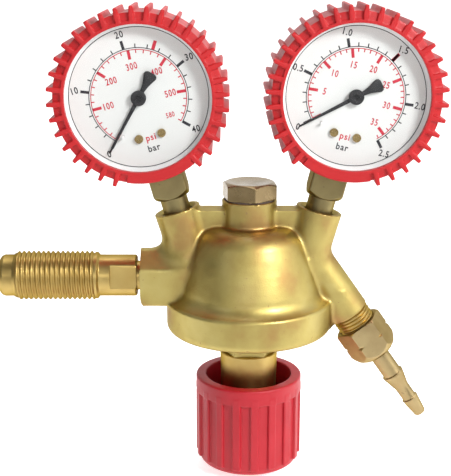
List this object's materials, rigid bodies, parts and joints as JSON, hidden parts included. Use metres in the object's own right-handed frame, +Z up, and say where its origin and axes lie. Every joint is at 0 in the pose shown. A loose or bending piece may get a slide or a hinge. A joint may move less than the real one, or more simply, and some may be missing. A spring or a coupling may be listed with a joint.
{
  "type": "gas regulator",
  "caption": "Acetylene cylinder pressure regulator: forged brass body, two dial gauges in red ribbed covers, threaded inlet nipple, barbed hose outlet and red adjusting knob.",
  "frame": {"origin": "on the inlet axis, at the outer end of the full inlet thread", "axes": "+X along the inlet axis into the body, +Z up towards the gauges, -Y the side that the dials face"},
  "size_m": [0.1778, 0.068, 0.1921],
  "materials": {
    "forged_brass": "satin, bead blasted",
    "turned_brass": "turned",
    "cap_bronze": "satin, slightly oxidised",
    "dull_brass": "satin, milled",
    "movement_brass": "punched",
    "sintered_bronze": "sintered",
    "bright_steel": "ground",
    "spring_steel": "drawn wire",
    "case_steel": "drawn sheet",
    "cover_red": "smooth, satin",
    "knob_red": "moulded, satin",
    "dial_white": "printed, matt",
    "ring_grey": "moulded, light",
    "pointer_black": "matt black",
    "window_clear": "clear, polished",
    "black_rubber": "matt",
    "fibre_dark": "pressed fibre"
  },
  "bodies": {
    "root": {"body": "forged_brass", "bonnet": "forged_brass", "spring_housing": "turned_brass", "valve_cap": "cap_bronze", "cap_washer": "fibre_dark", "nozzle": "bright_steel", "valve_spring": "spring_steel", "diaphragm": "black_rubber", "slip_ring": "turned_brass", "main_spring": "spring_steel", "inlet_nipple": "turned_brass", "inlet_filter": "sintered_bronze", "inlet_seal": "black_rubber", "left_cover": "cover_red", "left_case": "case_steel", "left_socket": "dull_brass", "left_bourdon_tube": "movement_brass", "left_movement": "movement_brass", "left_hairspring": "spring_steel", "left_dial": "dial_white", "left_dial_screws": "movement_brass", "left_stop_pin": "ring_grey", "left_inner_ring": "ring_grey", "left_window": "window_clear", "right_cover": "cover_red", "right_case": "case_steel", "right_socket": "dull_brass", "right_bourdon_tube": "movement_brass", "right_movement": "movement_brass", "right_hairspring": "spring_steel", "right_dial": "dial_white", "right_dial_screws": "movement_brass", "right_stop_pin": "ring_grey", "right_inner_ring": "ring_grey", "right_window": "window_clear"},
    "valve_train": {"poppet": "turned_brass", "seat_pad": "black_rubber", "push_pin": "bright_steel", "diaphragm_plate": "bright_steel", "lift_stud": "turned_brass", "diaphragm_nut": "bright_steel"},
    "spring_carrier": {"spring_button": "bright_steel", "thrust_ball": "bright_steel"},
    "knob": {"knob": "knob_red", "adjusting_screw": "bright_steel", "knob_screw": "bright_steel", "knob_cap": "knob_red"},
    "hose_tail": {"hose_tail": "dull_brass"},
    "union_nut": {"union_nut": "dull_brass"},
    "left_sector": {"left_sector": "movement_brass"},
    "left_link": {"left_link": "movement_brass"},
    "left_pointer": {"left_pointer": "pointer_black", "left_pinion": "bright_steel"},
    "right_sector": {"right_sector": "movement_brass"},
    "right_link": {"right_link": "movement_brass"},
    "right_pointer": {"right_pointer": "pointer_black", "right_pinion": "bright_steel"}
  },
  "joints": [
    {"name": "valve_lift", "type": "slide", "parent": "root", "child": "valve_train", "axis": [0, 0, 1], "range_m": [0, 0.0008], "stiffness_N_per_m": 1200, "springref_m": -0.004, "deforming": ["valve_spring", "diaphragm"]},
    {"name": "screw_feed", "type": "slide", "parent": "root", "child": "spring_carrier", "axis": [0, 0, 1], "range_m": [0, 0.009], "deforming": ["main_spring"]},
    {"name": "knob_turn", "type": "hinge", "parent": "spring_carrier", "child": "knob", "pos_m": [0.095, 0, 0], "axis": [0, 0, 1], "range_deg": [0, 2160]},
    {"name": "tail_feed", "type": "slide", "parent": "root", "child": "hose_tail", "axis": [0.575, 0, -0.8181], "range_m": [0, 0.006]},
    {"name": "union_nut_turn", "type": "hinge", "parent": "hose_tail", "child": "union_nut", "pos_m": [0.1365, 0, -0.0158], "axis": [-0.575, 0, 0.8181], "range_deg": [0, 1440]},
    {"name": "left_sector_turn", "type": "hinge", "parent": "root", "child": "left_sector", "pos_m": [0.05463, 0, 0.06626], "axis": [0, -1, 0], "range_deg": [0, 54], "stiffness_Nm_per_rad": 0.001, "springref_deg": -11.46},
    {"name": "left_link_turn", "type": "hinge", "parent": "left_sector", "child": "left_link", "pos_m": [0.05139, 0, 0.06391], "axis": [0, -1, 0], "range_deg": [-54, 0]},
    {"name": "left_pointer_turn", "type": "hinge", "parent": "root", "child": "left_pointer", "pos_m": [0.05215, 0, 0.07491], "axis": [0, 1, 0], "range_deg": [0, 270]},
    {"name": "right_sector_turn", "type": "hinge", "parent": "root", "child": "right_sector", "pos_m": [0.13293, 0, 0.06662], "axis": [0, -1, 0], "range_deg": [0, 54], "stiffness_Nm_per_rad": 0.001, "springref_deg": -11.46},
    {"name": "right_link_turn", "type": "hinge", "parent": "right_sector", "child": "right_link", "pos_m": [0.12895, 0, 0.0662], "axis": [0, -1, 0], "range_deg": [-54, 0]},
    {"name": "right_pointer_turn", "type": "hinge", "parent": "root", "child": "right_pointer", "pos_m": [0.13511, 0, 0.07535], "axis": [0, 1, 0], "range_deg": [0, 270]}
  ],
  "couplings": [
    {"joint": "knob_turn", "follows": "screw_feed", "rad_per_m": 4188.8},
    {"joint": "union_nut_turn", "follows": "tail_feed", "rad_per_m": 4188.8},
    {"joint": "left_link_turn", "follows": "left_sector_turn", "ratio": -1},
    {"joint": "left_pointer_turn", "follows": "left_sector_turn", "ratio": 5},
    {"joint": "right_link_turn", "follows": "right_sector_turn", "ratio": -1},
    {"joint": "right_pointer_turn", "follows": "right_sector_turn", "ratio": 5}
  ]
}
